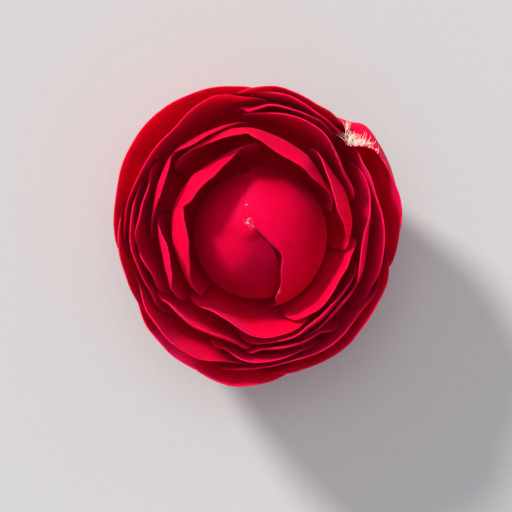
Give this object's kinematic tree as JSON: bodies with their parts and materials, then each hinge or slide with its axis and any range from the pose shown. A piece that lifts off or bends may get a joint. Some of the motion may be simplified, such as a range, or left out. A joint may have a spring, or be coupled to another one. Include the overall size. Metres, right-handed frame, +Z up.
{
  "type": "camellia flower",
  "caption": "Half-open red rose-form double camellia bloom, picked: wrapped petals round a closed bud, green calyx and a cut stem stub.",
  "frame": {"origin": "on the surface that the bloom lies on, under the middle of its outline", "axes": "+Z up along the axis of the bloom, out of its face; +X and +Y across it, with the free edge of the outer bud petal towards -Y"},
  "size_m": [0.0706, 0.0739, 0.0436],
  "materials": {
    "petal": "soft velvety crimson petal",
    "bud": "soft velvety crimson petal, a little smoother",
    "calyx": "silky green sepal, browning at the edges",
    "stem": "matt young wood"
  },
  "bodies": {
    "root": {"petal_1a": "petal", "petal_1b": "petal", "petal_1c": "petal", "petal_1d": "petal", "petal_1e": "petal", "petal_2a": "petal", "petal_2b": "petal", "petal_2c": "petal", "petal_2d": "petal", "petal_2e": "petal", "petal_3a": "petal", "petal_3b": "petal", "petal_3c": "petal", "petal_3d": "petal", "petal_3e": "petal", "petal_4a": "petal", "petal_4b": "petal", "petal_4c": "petal", "petal_4d": "petal", "petal_4e": "petal", "petal_4f": "petal", "petal_5a": "petal", "petal_5b": "petal", "petal_5c": "petal", "petal_5d": "petal", "petal_5e": "petal", "petal_5f": "petal", "bud_petal_a": "bud", "bud_petal_b": "bud", "bud_petal_c": "bud", "inner_petal_a": "bud", "inner_petal_b": "bud", "stem": "stem", "calyx": "calyx"}
  },
  "joints": []
}
